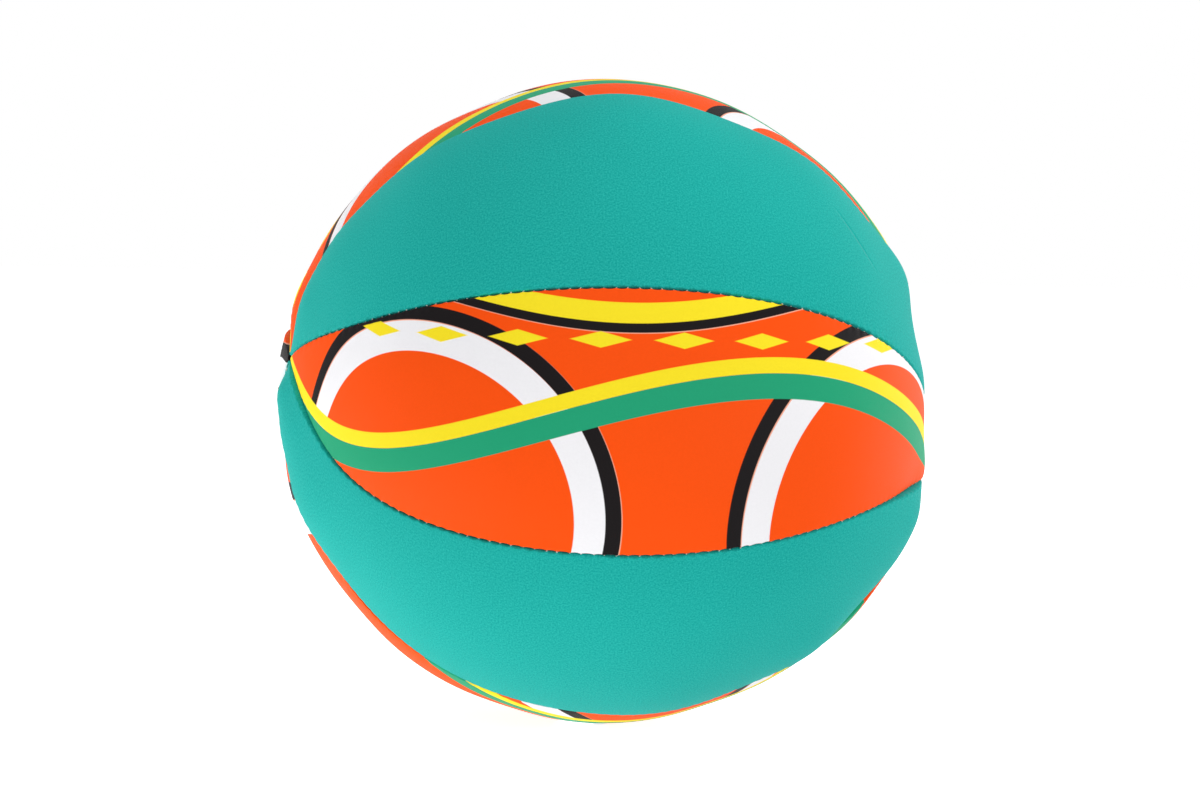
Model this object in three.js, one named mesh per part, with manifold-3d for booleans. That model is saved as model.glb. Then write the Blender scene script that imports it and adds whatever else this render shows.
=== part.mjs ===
// A sewn play ball: cloth-faced gores over an inflated rubber bladder, with a needle valve.
// Millimetres. The origin is the ball's centre, +Z is up, +X runs out through the right-hand tips
// and -Y through the middle of the front gore. The valve is at the back, on +Y.

import * as THREE from 'three';
import { mergeVertices } from 'three/addons/utils/BufferGeometryUtils.js';
import Module from 'manifold-3d';

const wasm = await Module();
wasm.setup();

// The ball
const ballDiameter = 220;
const goreCount = 8;
const seamSink = 1.2;            // how far a gore's sewn edges lie below its own crown line

// The cloth and its turned-in edges
const clothThickness = 2.5;
const seamAllowance = 5;         // flat width of the edge that is turned under
const foldGap = 0.4;             // between a gore's underside and its turned-in edge
const foldPower = 3;             // 2 is a round fold, and more is one pressed squarer by its neighbour
const seamGap = 0.3;             // between the folded edges of two gores

// The tips, which are gathered a little off the ball's axis
const tipHoleRadius = 2.1;
const leftTipForward = 22.8;
const leftTipUp = 14.7;
const rightTipBack = 14.1;
const rightTipDown = 12.5;
const tipReach = 57.6;           // how far from the tips that pull dies away

// The seam threads and the tacks that close the tips
const threadDiameter = 0.7;
const threadClearance = 0.15;
const threadStart = 7.5;         // from the axis, where a row of stitches is locked
const tackClearance = 0.3;
const tackSink = 1;
const tackLength = 4;

// The bladder
const bladderWall = 0.9;
const bladderClearance = 0.3;
const bladderRamp = 3;           // width over which it steps down under a turned-in edge
const bladderOpenWidth = 12;     // it fills a gore fully only where the gore is wider than this

// The valve and the patch behind the punched hole
const neckDiameter = 10;
const neckRecess = 1;
const neckClearance = 0.5;
const patchDiameter = 28;
const patchThickness = 0.8;
const flangeDiameter = 24;
const flangeThickness = 1.6;
const bondClearance = 0.3;
const pocketDiameter = 13;
const pocketLength = 24;
const pocketLip = 1.5;
const pocketBevel = 1.5;
const lipBoreDiameter = 3.6;
const coreDiameter = 5.2;
const coreHeadDiameter = 6;
const coreHeadLength = 1.6;
const coreBevel = 1;
const coreClearance = 0.3;
const needleDiameter = 1.8;
const needleFunnel = 0.6;
const needleLead = 8;

// Facets
const ringAngle = 10;
const valveSides = 24;
const threadSides = 5;
const tackSides = 16;

const ballRadius = ballDiameter / 2;
const gorePitch = 2 * Math.PI / goreCount;
const foldRadius = clothThickness + foldGap / 2;
const valvePhi = Math.round(goreCount / 2) * gorePitch;

const PRINT = { color: 0xff5514, roughness: 0.5, metalness: 0 };
const TEAL = { color: 0x23afa0, roughness: 0.75, metalness: 0 };
const THREAD = { color: 0x20302f, roughness: 0.7, metalness: 0 };
const BLADDER = { color: 0x1b1b1d, roughness: 0.6, metalness: 0 };
const VALVE = { color: 0x141414, roughness: 0.5, metalness: 0 };
const PATCH = { color: 0x2b3336, roughness: 0.9, metalness: 0 };

// The ball's surface: s runs from the left tips (0) to the right tips (PI), and phi round the axis,
// 0 at the front and growing upwards. The tips are pulled off the axis, and each gore is crowned.
function onBall(s, phi, depth) {
  const out = new THREE.Vector3(-Math.cos(s), -Math.sin(s) * Math.cos(phi), Math.sin(s) * Math.sin(phi));
  const pullLeft = Math.exp(-((ballRadius * s / tipReach) ** 2));
  const pullRight = Math.exp(-((ballRadius * (Math.PI - s) / tipReach) ** 2));
  out.y += (pullRight * rightTipBack - pullLeft * leftTipForward) / ballRadius;
  out.z += (pullLeft * leftTipUp - pullRight * rightTipDown) / ballRadius;
  const across = 2 * (phi / gorePitch - Math.round(phi / gorePitch));
  const sink = seamSink * across ** 2 * Math.sin(s);
  return out.normalize().multiplyScalar(ballRadius - sink - depth);
}

// A gore's half section at s, as distances from its middle line. Near the tips the fold and the
// turned-in edge are pressed together, so each takes at most its share of the half width.
function goreStations(s) {
  const foldShare = 0.45;
  const allowanceShare = 0.35;
  const rampShare = 0.12;
  const half = ballRadius * Math.sin(s) * gorePitch / 2 - seamGap / 2;
  const fold = Math.min(foldRadius, foldShare * half);
  const foldStart = half - fold;
  const cutEdge = foldStart - Math.min(seamAllowance, allowanceShare * half);
  const rampWidth = Math.min(bladderRamp, rampShare * half);
  const open = cutEdge - rampWidth;
  return { half, fold, foldStart, cutEdge, open, rampEnd: cutEdge - rampWidth / 4 };
}

// Rings along the ball: close together at the tips, then one for each ring angle.
function ringsFrom(first, extra = []) {
  const step = THREE.MathUtils.degToRad(ringAngle);
  const count = Math.round(Math.PI / step);
  const between = Array.from({ length: count - 1 }, (_, i) => (i + 1) * Math.PI / count);
  const near = [first, ...extra].filter((s) => s < between[0] - 0.01);
  return [...near, ...between, ...near.map((s) => Math.PI - s).reverse()];
}

// Closed rings of points joined by quads, with the first and last ring closed by the given triangles.
function loft(rings, capFaces) {
  const size = rings[0].length;
  const faces = [];
  for (let r = 0; r + 1 < rings.length; r += 1) {
    for (let i = 0; i < size; i += 1) {
      const j = (i + 1) % size;
      const a = r * size + i;
      const b = r * size + j;
      faces.push(a, b, b + size, a, b + size, a + size);
    }
  }
  const last = (rings.length - 1) * size;
  for (const [a, b, c] of capFaces) {
    faces.push(a, c, b);
    faces.push(last + a, last + b, last + c);
  }
  return closedGeometry(rings.flat(), faces);
}

// A surface over the whole ball, closed by one point at each end of the axis.
function shellSurface(rings, firstPole, lastPole) {
  const size = rings[0].length;
  const points = [...rings.flat(), firstPole, lastPole];
  const faces = [];
  const lastRing = (rings.length - 1) * size;
  for (let i = 0; i < size; i += 1) {
    const j = (i + 1) % size;
    for (let r = 0; r + 1 < rings.length; r += 1) {
      const a = r * size + i;
      const b = r * size + j;
      faces.push(a, b, b + size, a, b + size, a + size);
    }
    faces.push(j, i, points.length - 2);
    faces.push(lastRing + i, lastRing + j, points.length - 1);
  }
  return closedGeometry(points, faces);
}

// An indexed geometry whose faces point outwards, whichever way round they were listed.
function closedGeometry(points, faces) {
  const volume = (list) => {
    let sum = 0;
    for (let i = 0; i < list.length; i += 3) {
      const [a, b, c] = [points[list[i]], points[list[i + 1]], points[list[i + 2]]];
      sum += a.dot(new THREE.Vector3().crossVectors(b, c));
    }
    return sum;
  };
  const index = volume(faces) < 0 ? faces.slice().reverse() : faces;
  const geometry = new THREE.BufferGeometry().setFromPoints(points);
  geometry.setIndex(index);
  return geometry;
}

function toSolid(geometry) {
  const bare = geometry.clone();
  bare.deleteAttribute('normal');
  bare.deleteAttribute('uv');
  const merged = mergeVertices(bare, 1e-4);
  return new wasm.Manifold(new wasm.Mesh({
    numProp: 3,
    vertProperties: new Float32Array(merged.attributes.position.array),
    triVerts: new Uint32Array(merged.index.array),
  }));
}

function toGeometry(solid) {
  const mesh = solid.getMesh();
  const geometry = new THREE.BufferGeometry();
  geometry.setAttribute('position', new THREE.BufferAttribute(mesh.vertProperties, 3));
  geometry.setIndex(new THREE.BufferAttribute(mesh.triVerts, 1));
  return geometry;
}

// One gore: a crowned sheet whose two long edges are rolled under and lie flat against its underside.
function goreGeometry(middlePhi) {
  const foldSteps = 4;
  const section = (s) => {
    const { fold, foldStart, cutEdge, open } = goreStations(s);
    const right = [[open / 2, 0], [open, 0]];
    for (let i = 0; i <= foldSteps; i += 1) {
      const turn = i * Math.PI / foldSteps;
      const outward = Math.sin(turn) ** (2 / foldPower);
      const upward = Math.sign(Math.cos(turn)) * Math.abs(Math.cos(turn)) ** (2 / foldPower);
      right.push([foldStart + fold * outward, foldRadius * (1 - upward)]);
    }
    right.push([cutEdge, 2 * foldRadius], [cutEdge, 2 * foldRadius - clothThickness]);
    right.push([foldStart, 2 * foldRadius - clothThickness], [foldStart, clothThickness]);
    right.push([open, clothThickness], [open / 2, clothThickness]);
    const left = right.map(([across, depth]) => [-across, depth]).reverse();
    return [[0, 0], ...right, [0, clothThickness], ...left];
  };
  const places = ringsFrom(tipHoleRadius / ballRadius, [threadStart / ballRadius]);
  const rings = places.map((s) => section(s).map(([across, depth]) =>
    onBall(s, middlePhi + across / (ballRadius * Math.sin(s)), depth)));
  const outline = section(Math.PI / 2).map(([across, depth]) => new THREE.Vector2(across, depth));
  return loft(rings, THREE.ShapeUtils.triangulateShape(outline, []));
}

// A seam's row of stitches. It lies as deep in the groove between two rolled edges as its width lets it.
function threadGeometry(seamPhi) {
  const radius = threadDiameter / 2;
  const sides = Array.from({ length: threadSides }, (_, i) => i * 2 * Math.PI / threadSides);
  const rings = ringsFrom(threadStart / ballRadius).map((s) => {
    const { fold } = goreStations(s);
    const outward = 1 - (radius + threadClearance - seamGap / 2) / fold;
    const middle = foldRadius * (1 - (1 - outward ** foldPower) ** (1 / foldPower));
    return sides.map((turn) => onBall(
      s,
      seamPhi + radius * Math.sin(turn) / (ballRadius * Math.sin(s)),
      middle + radius * Math.cos(turn),
    ));
  });
  const cap = Array.from({ length: threadSides - 2 }, (_, i) => [0, i + 1, i + 2]);
  return loft(rings, cap);
}

// The knot that draws a ball's eight tips together, in the small hole that they leave.
function tackGeometry(atRight) {
  const spread = (tipHoleRadius - tackClearance) / ballRadius;
  const s = atRight ? Math.PI - spread : spread;
  const ring = (depth) => Array.from({ length: tackSides }, (_, i) =>
    onBall(s, i * 2 * Math.PI / tackSides, depth));
  const cap = Array.from({ length: tackSides - 2 }, (_, i) => [0, i + 1, i + 2]);
  return loft([ring(tackSink), ring(tackSink + tackLength)], cap);
}

// The space inside the gores, less a skin of the given thickness. It steps in under the turned-in edges.
function insideGores(skin) {
  const ring = (s) => {
    const { half, open, rampEnd } = goreStations(s);
    const filled = Math.min(1, open / bladderOpenWidth);
    const middle = THREE.MathUtils.lerp(2 * foldRadius, clothThickness, filled) + skin;
    const edge = 2 * foldRadius + skin;
    const perGore = [[-rampEnd, edge], [-open, middle], [-open / 2, middle], [0, middle],
      [open / 2, middle], [open, middle], [rampEnd, edge], [half + seamGap / 2, edge]];
    return Array.from({ length: goreCount }, (_, g) => perGore.map(([across, depth]) =>
      onBall(s, g * gorePitch + across / (ballRadius * Math.sin(s)), depth))).flat();
  };
  const places = ringsFrom(tipHoleRadius / ballRadius, [threadStart / ballRadius]);
  const poleDepth = 2 * foldRadius + skin;
  const surface = shellSurface(places.map(ring), onBall(0, 0, poleDepth), onBall(Math.PI, 0, poleDepth));
  return toSolid(surface);
}

// Everything at the valve is turned about its axis, which leaves the ball through the back gore's middle.
const valveOut = new THREE.Vector3(0, -Math.cos(valvePhi), Math.sin(valvePhi));
const valveTurn = new THREE.Quaternion().setFromUnitVectors(new THREE.Vector3(0, 1, 0), valveOut);

function turnedAboutValve(profile) {
  const points = profile.map(([radius, height]) => new THREE.Vector2(radius, height));
  return toSolid(new THREE.LatheGeometry(points, valveSides).applyQuaternion(valveTurn));
}

function valveCylinder(diameter) {
  const radius = diameter / 2;
  const [low, high] = [ballRadius - 2 * pocketLength, ballRadius + clothThickness];
  return turnedAboutValve([[0, low], [radius, low], [radius, high], [0, high]]);
}

// Takes from a solid what lies nearer the gores than the skin, inside a circle round the valve.
function dished(solid, diameter, skin) {
  return solid.subtract(valveCylinder(diameter).subtract(insideGores(skin)));
}

// A layer of the given thickness that follows the gores' inside, inside a circle round the valve.
function layerAtValve(diameter, skin, thickness) {
  return valveCylinder(diameter).intersect(insideGores(skin)).subtract(insideGores(skin + thickness));
}

const patchHoleDiameter = neckDiameter + 2 * neckClearance;
const dishSkin = bladderClearance + patchThickness + bladderClearance;
const dishDiameter = patchDiameter + 4 * bladderClearance;
const flangeSkin = dishSkin + bladderWall + bondClearance;

function patchGeometry() {
  const patch = layerAtValve(patchDiameter, bladderClearance, patchThickness);
  return toGeometry(patch.subtract(valveCylinder(patchHoleDiameter)));
}

function bladderGeometry() {
  const outer = dished(insideGores(bladderClearance), dishDiameter, dishSkin);
  const cavity = dished(
    insideGores(bladderClearance + bladderWall),
    dishDiameter + 2 * bladderWall,
    dishSkin + bladderWall,
  );
  return toGeometry(outer.subtract(cavity).subtract(valveCylinder(neckDiameter + 2 * bondClearance)));
}

const valveFace = ballRadius - neckRecess;
const pocketEnd = valveFace - pocketLength;
const flangeMiddle = ballRadius - clothThickness - flangeSkin - flangeThickness / 2;
const coreEnd = pocketEnd + pocketLip + coreClearance;

// The rubber neck, its bonded flange and the pocket that hangs inside the bladder.
function housingGeometry() {
  const bore = coreDiameter / 2 + coreClearance;
  const headBore = coreHeadDiameter / 2 + coreClearance;
  const headFloor = valveFace - coreHeadLength - coreClearance;
  const stem = turnedAboutValve([
    [0, pocketEnd],
    [pocketDiameter / 2 - pocketBevel, pocketEnd],
    [pocketDiameter / 2, pocketEnd + pocketBevel],
    [pocketDiameter / 2, flangeMiddle],
    [neckDiameter / 2, flangeMiddle],
    [neckDiameter / 2, valveFace],
    [0, valveFace],
  ]);
  const flange = layerAtValve(flangeDiameter, flangeSkin, flangeThickness);
  const hollow = turnedAboutValve([
    [0, pocketEnd - pocketLip],
    [lipBoreDiameter / 2, pocketEnd - pocketLip],
    [lipBoreDiameter / 2, pocketEnd + pocketLip],
    [bore, pocketEnd + pocketLip],
    [bore, headFloor],
    [headBore, headFloor],
    [headBore, valveFace + neckRecess],
    [0, valveFace + neckRecess],
  ]);
  return toGeometry(stem.add(flange).subtract(hollow));
}

// The plug that seals itself round the needle, with the lead-in that guides it.
function coreGeometry() {
  const radius = coreDiameter / 2;
  const headRadius = coreHeadDiameter / 2;
  const needle = needleDiameter / 2;
  return toGeometry(turnedAboutValve([
    [0, coreEnd],
    [radius - coreBevel, coreEnd],
    [radius, coreEnd + coreBevel],
    [radius, valveFace - coreHeadLength],
    [headRadius, valveFace - coreHeadLength],
    [headRadius, valveFace],
    [needle + needleFunnel, valveFace],
    [needle, valveFace - needleFunnel],
    [needle, valveFace - needleLead],
    [0, valveFace - needleLead - needle],
  ]));
}

const ball = new THREE.Group();

function addPiece(name, geometry, look) {
  const piece = new THREE.Mesh(geometry, new THREE.MeshStandardMaterial(look));
  piece.name = name;
  ball.add(piece);
}

for (let g = 0; g < goreCount; g += 1) {
  const printed = g % 2 === 0;
  const middle = g * gorePitch;
  const gore = goreGeometry(middle);
  const holdsValve = middle === valvePhi;
  const cut = holdsValve ? toGeometry(toSolid(gore).subtract(valveCylinder(patchHoleDiameter))) : gore;
  const name = `${printed ? 'print' : 'teal'}_panel_${Math.floor(g / 2) + 1}`;
  addPiece(name, cut, printed ? PRINT : TEAL);
  addPiece(`seam_thread_${g + 1}`, threadGeometry(middle + gorePitch / 2), THREAD);
}
addPiece('tip_tack_left', tackGeometry(false), THREAD);
addPiece('tip_tack_right', tackGeometry(true), THREAD);
addPiece('bladder', bladderGeometry(), BLADDER);
addPiece('valve_patch', patchGeometry(), PATCH);
addPiece('valve_housing', housingGeometry(), VALVE);
addPiece('valve_core', coreGeometry(), VALVE);

export default ball;
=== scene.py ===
"""A sewn play ball: eight cloth-faced gores over an inflated bladder, with a needle valve at the back.

Metres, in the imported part's frame: +X out through the right-hand tips, -Y through the middle of the
front gore, +Z up. Every surface is a function of two parameters, worked out as whole numpy arrays.
"""
import math

import bmesh
import bpy
import numpy as np
from mathutils import Matrix, Vector


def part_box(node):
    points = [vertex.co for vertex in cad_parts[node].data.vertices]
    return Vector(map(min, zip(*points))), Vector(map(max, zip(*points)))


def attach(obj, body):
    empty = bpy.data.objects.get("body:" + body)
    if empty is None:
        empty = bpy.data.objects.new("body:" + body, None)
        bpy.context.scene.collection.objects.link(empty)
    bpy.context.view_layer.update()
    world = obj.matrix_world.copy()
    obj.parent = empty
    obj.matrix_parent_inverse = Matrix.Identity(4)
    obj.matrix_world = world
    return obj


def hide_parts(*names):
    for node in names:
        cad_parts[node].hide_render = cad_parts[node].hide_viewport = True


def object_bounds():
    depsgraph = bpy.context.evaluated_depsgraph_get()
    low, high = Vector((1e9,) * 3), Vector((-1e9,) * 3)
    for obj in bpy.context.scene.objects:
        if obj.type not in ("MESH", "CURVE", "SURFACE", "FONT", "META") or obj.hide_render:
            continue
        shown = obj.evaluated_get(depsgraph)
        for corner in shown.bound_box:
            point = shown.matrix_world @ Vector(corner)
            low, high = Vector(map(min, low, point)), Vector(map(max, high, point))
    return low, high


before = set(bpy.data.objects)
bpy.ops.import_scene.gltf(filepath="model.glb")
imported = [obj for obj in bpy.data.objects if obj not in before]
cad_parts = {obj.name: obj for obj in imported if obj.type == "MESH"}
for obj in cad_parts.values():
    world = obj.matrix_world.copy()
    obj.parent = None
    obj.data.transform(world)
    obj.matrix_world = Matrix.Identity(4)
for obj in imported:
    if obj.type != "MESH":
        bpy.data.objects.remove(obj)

CAD_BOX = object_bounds()

MM = 0.001
FULL_TURN = 2 * math.pi
SEED = 20

# The ball, as its solids are built
BALL_RADIUS = -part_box("print_panel_1")[0].y
GORES = 8
PITCH = FULL_TURN / GORES
SEAM_SINK = 0.0012
TIP_HOLE = 0.0021
TIP_ANGLE = TIP_HOLE / BALL_RADIUS
TIP_REACH = 0.0576
LEFT_PULL = (0.0, -0.0228, 0.0147)  # off the axis, along X, Y and Z
RIGHT_PULL = (0.0, 0.0141, -0.0125)

# The cloth and its turned-in edges
CLOTH = 0.0025
FOLD_RADIUS = 0.0027
ALLOWANCE = 0.005
FOLD_SHARE = 0.45                   # the most that a fold takes of a gore's half width, near a tip
ALLOWANCE_SHARE = 0.35              # and the most that the allowance takes
SEAM_GAP = 0.0003
SHOULDER = 0.0009                   # width of the visible rounding beside a seam
SHOULDER_POWER = 2.4                # 2 would be round
UNDERSIDE_BEND = 0.7                # 1 would be round

# A gore's slight unevenness
UNEVEN_WAVES = 9
UNEVEN_LENGTH = 0.07
UNEVEN_HEIGHT = 0.00022

# How the gores' meshes are divided
RINGS = 751
FACE_STEPS = 12
SHOULDER_STEPS = 8
SHARP_EDGE = math.radians(50)

# The stitches: a strand along each seam, its dark colour partly painted shade in the groove, and a light
# tick at each needle hole
STITCH = 0.0037
STITCH_START = 0.0075               # from a tip, where a row of stitches is locked
STITCH_SCATTER = 0.1                # share of a stitch by which a needle hole is off its place
PINCH_DEPTH = 0.00012
PINCH_CLOSE = 0.65                  # share by which the rounding narrows where a stitch holds it
PINCH_WIDTH = 0.0018
PINCH_SHARPNESS = 1.6
PUFF = 0.00005
STITCH_OPEN = 0.00005               # how far each edge stands back between two stitches
STRAND_RADIUS = 0.0002
STRAND_DEPTH = 0.0013
STRAND_DIVE = 0.0005                # how much deeper it runs at a needle hole
STRAND_RINGS, STRAND_SIDES = 8, 6   # rings from each needle hole to the next
TICK_RADIUS = 0.00023
TICK_REACH = (0.0003, 0.0007)       # from its middle to its ends
TICK_SHIFT = 0.0002
TICK_DEPTH = (0.0004, 0.001)
TICK_DROP = 0.0006                  # how much deeper its ends lie
TICK_SPANS = np.linspace(-1, 1, 7)
TICK_SIDES = 5

# The knots in the tip holes: share of the knot's radius, and depth in millimetres
KNOT_PROFILE = [
    (0.02, 0.9), (0.25, 0.95), (0.5, 1.05), (0.72, 1.2), (0.88, 1.45),
    (0.97, 1.8), (1.0, 2.3), (0.97, 2.8), (0.9, 3.4), (0.9, 5.0)]
KNOT_RADIUS = TIP_HOLE - 0.0003
KNOT_LOBE = 0.08
KNOT_RIDGE = 0.00008
KNOT_TWIST = 6000.0                 # radians for each metre out from its middle
KNOT_SIDES = 64

# The valve at the middle of the back gore
VALVE_GORE = GORES // 2
HOLE_RADIUS = 0.0055
HOLE_DIP, HOLE_DIP_REACH = 0.0005, 0.0012
HOLE_SHARE = 0.22                   # of the gore's half width, within which its points lie closer
HOLE_SLIVER = 0.000001              # a shorter edge is left over from cutting the hole
NECK_RADIUS = 0.005
FLANGE_RADIUS = 0.012
FLANGE_RISE = 0.0014                # from the flange's middle to where the neck leaves it
POCKET_RADIUS = 0.0065
POCKET_MOUTH = 0.0018
PLUG_RADIUS = 0.0026
PLUG_HEAD = 0.003
LEAD_RADIUS = 0.0009                # of the way in for a pump's needle
VALVE_FACE = BALL_RADIUS - 0.001
VALVE_LENGTH = 0.024
PATCH_RADIUS = 0.014
PATCH_THICKNESS = 0.0008
CLEARANCE = 0.0003

# The bladder
BLADDER_WALL = 0.0009
BLADDER_SLOPE = 0.004               # width of its step from the cloth to the turned-in edges
BLADDER_FADE = 0.012                # the step is full where a cut edge is this far from its gore's middle
DISH_RADIUS = PATCH_RADIUS + 0.0025
DISH_SLOPE = 0.0018

# The one crease of the upper front gore, in millimetres on the cloth along the gore and across it
CREASE_AT = (84.2, 2.6)
CREASE_WAY = (0.795, -0.605)
CREASE_LENGTH = 22.0
CREASE_DEPTH = 7.0                  # times the knit's relief

# The knit and the generic print, in millimetres on the cloth, with each gore's place on it in metres
MAP_UNIT = 0.1                      # metres of cloth for 1 on its map
PRINT_CUTS = [(0.0, 0.0), (0.006, 0.024), (-0.0915, 0.0525), (0.168, -0.036)]
TEAL_CUT_STEP = 0.4
KNIT_COLUMN, KNIT_ROW = 0.45, 0.4
PRINT_BLUR = 0.25
PRINT_SLIP = (0.3, -0.28)           # how far the black lies off its place
RING_EVERY = (172.0, 150.0)
RING_CENTRE = (-70.0, -34.0)
RING, RING_EDGE = (54.0, 64.0), (64.0, 69.0)
RIBBON_EVERY = 120.0
GREEN_WAVE = (310.0, 15.0, 30.0)    # length, height and start
GREEN_RIBBON, GREEN_EDGE = (-7.0, 1.0), (1.0, 6.0)
YELLOW_WAVE = (235.0, 9.0, -60.0)
YELLOW_RIBBON, YELLOW_EDGE = (40.0, 47.0), (37.0, 40.0)
LOZENGE_EVERY = (26.0, 120.0)
LOZENGE_CENTRE = (-9.0, 26.0)
LOZENGE_HALF = (9.5, 2.6)

# The floor and the lights, and the camera as the photograph's seams and outline place it
FLOOR_RADIUS = 8.0
FLOOR_DROP = 0.0004
FLOOR_SHADE = (0.8, 0.8, 0.8, 1.0)
FLOOR_GLOW = 0.9
WORLD_LIGHT = 0.33
SOFTBOXES = [
    # name, place, width and height in metres, watts
    ("front", (0.0, -1.25, 0.4), 0.6, 0.6, 2.6),
    ("right", (0.94, -0.90, 0.02), 0.45, 0.6, 7.0),
    ("rear_left", (-1.1, 0.45, -0.45), 0.6, 0.9, 7.8),
    ("rear_right", (1.13, 0.65, 0.10), 0.6, 0.9, 6.5),
    ("top", (0.0, -0.1, 1.3), 1.0, 1.0, 8.5),
    ("low_left", (-1.1, -0.45, -0.7), 0.6, 0.6, 9.4),
    ("table", (0.0, 0.0, -1.2), 1.4, 1.4, 7.4),
]
IMAGE_WIDTH, IMAGE_HEIGHT = 1200, 800
BALL_CENTRE_PX = (603.9, 401.6)
BALL_RADIUS_PX = 322.8
CAMERA_DISTANCE = 9 * BALL_RADIUS
CAMERA_TURN, CAMERA_RISE, CAMERA_ROLL = 3.97, 3.60, -0.92
SENSOR = 36.0

# Swellings and hollows of single gores: gore, degrees from the left tips, degrees round from the
# front, reach and rise in millimetres, and how firmly the gore's sewn edges hold it down (0 to 1).
SWELLS = [
    (0, 161, 338, 11, 2.6, 0.0),
    (0, 166, 0, 17, -1.2, 0.0),
    (1, 13, 66, 12, 1.9, 0.0),
    (1, 30, 60, 16, 1.8, 0.0),
    (1, 55, 62, 22, 1.3, 0.0),
    (1, 90, 64, 30, 3.4, 0.0),
    (1, 125, 62, 22, 1.9, 0.0),
    (1, 149, 60, 14, 2.4, 0.2),
    (1, 157, 52, 12, -2.9, 0.0),
    (1, 165, 80, 14, -0.8, 0.0),
    (1, 168, 42, 12, -3.0, 0.0),
    (2, 12, 95, 12, 1.8, 0.0),
    (2, 26, 100, 14, 0.5, 0.2),
    (2, 66, 88, 18, -1.1, 0.5),
    (2, 90, 86, 22, 0.3, 0.3),
    (2, 123, 83, 18, -0.8, 0.5),
    (2, 149, 73, 14, 0.8, 0.2),
    (2, 158, 80, 10, -1.2, 0.0),
    (3, 8, 146, 8, -1.4, 0.0),
    (4, 13, 156, 9, 0.5, 0.0),
    (4, 14, 195, 18, 2.2, 0.0),
    (5, 12, 228, 13, -2.2, 0.0),
    (6, 5.3, 288, 5, 1.3, 0.0),
    (6, 12, 268, 10, -1.5, 0.0),
    (6, 23, 262, 18, 1.2, 0.3),
    (6, 42, 276, 14, -0.6, 0.5),
    (6, 73, 279, 15, -0.8, 0.5),
    (6, 109, 282, 14, -0.8, 0.5),
    (6, 125, 286, 16, 0.4, 0.3),
    (6, 141, 288, 20, 2.7, 0.0),
    (6, 155, 290, 14, 3.0, 0.0),
    (7, 6.2, 298, 6.5, 2.3, 0.0),
    (7, 12, 306, 12, 3.2, 0.0),
    (7, 24, 302, 20, 3.7, 0.0),
    (7, 42, 298, 18, -0.4, 0.0),
    (7, 100, 298, 24, 1.6, 0.0),
    (7, 128, 300, 18, 3.4, 0.0),
    (7, 153, 316, 25, 4.0, 0.0),
    (7, 154, 326, 8, 1.0, 0.0),
    (7, 165, 300, 14, -1.0, 0.0),
    (7, 168, 330, 10, -4.5, 0.0),
]


# The ball's surface
def tip_pull(s):
    """How far the gathered ends pull a point s from the left tips, in ball radii: the sum of each end's
    pull times exp(-(way to that end / reach) squared)."""
    total = 0
    for way, pull in ((s, LEFT_PULL), (math.pi - s, RIGHT_PULL)):
        fade = np.exp(-((BALL_RADIUS * way / TIP_REACH) ** 2)) / BALL_RADIUS
        total = total + fade[..., None] * np.array(pull)
    return total


def direction(s, phi):
    """Unit directions from the ball's centre: a point s from the left tips and phi round the axis, from
    the front upwards, starts as (-cos s, -sin s cos phi, sin s sin phi), and its pull is added."""
    s, phi = np.broadcast_arrays(s, phi)
    out = np.stack([-np.cos(s), -np.sin(s) * np.cos(phi), np.sin(s) * np.sin(phi)], -1) + tip_pull(s)
    return out / np.linalg.norm(out, axis=-1, keepdims=True)


def undirected(out):
    """The s and phi of unit directions: the pull at the last s found is taken off the direction, at the
    length that leaves a unit vector, a few times."""
    base = out
    for _ in range(12):
        pull = tip_pull(np.arccos(np.clip(-base[..., 0], -1, 1)))
        along = (out * pull).sum(-1, keepdims=True)
        length = along + np.sqrt(along ** 2 + 1 - (pull ** 2).sum(-1, keepdims=True))
        base = length * out - pull
    return np.arccos(np.clip(-base[..., 0], -1, 1)), np.arctan2(base[..., 2], -base[..., 1])


def unevenness(gore, out):
    """A gore's slight unevenness: the sum of a few sine waves of about one length, each across its own
    random direction and with its own random phase, times the height over the root of their number."""
    random = np.random.default_rng(SEED + gore)
    total = 0
    for _ in range(UNEVEN_WAVES):
        axis = random.normal(size=3)
        length = UNEVEN_LENGTH * random.uniform(0.7, 1.4)
        axis *= FULL_TURN * BALL_RADIUS / (length * np.linalg.norm(axis))
        total = total + np.sin(out @ axis + random.uniform(0, FULL_TURN))
    return UNEVEN_HEIGHT * total / math.sqrt(UNEVEN_WAVES)


def swell(gore, out, across):
    """How far a gore's surface stands out: its unevenness, gone at the edges, plus a sum of rises times
    exp(-(way / reach) squared), each held down by its share of the sixth power of the share across."""
    at_edge = across ** 6
    total = unevenness(gore, out) * (1 - at_edge)
    for home, s, phi, reach, rise, held in SWELLS:
        if home == gore:
            centre = direction(math.radians(s), math.radians(phi))
            way = BALL_RADIUS * np.linalg.norm(out - centre, axis=-1)
            total = total + rise * MM * np.exp(-(way / (reach * MM)) ** 2) * (1 - held * at_edge)
    return total


def half_width(s):
    """Half a gore's width: the ball's radius times sin s times half the angle between two seams."""
    return BALL_RADIUS * np.sin(s) * PITCH / 2


def on_gore(gore, s, across, depth):
    """Points under a gore's surface: along its direction, at the ball's radius less the seam's sink
    times the squared share across the gore times sin s, less the depth, plus the gore's swell."""
    out = direction(s, (gore + across / 2) * PITCH)
    radius = BALL_RADIUS - SEAM_SINK * across ** 2 * np.sin(s) - depth + swell(gore, out, across)
    return out * radius[..., None]


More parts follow.
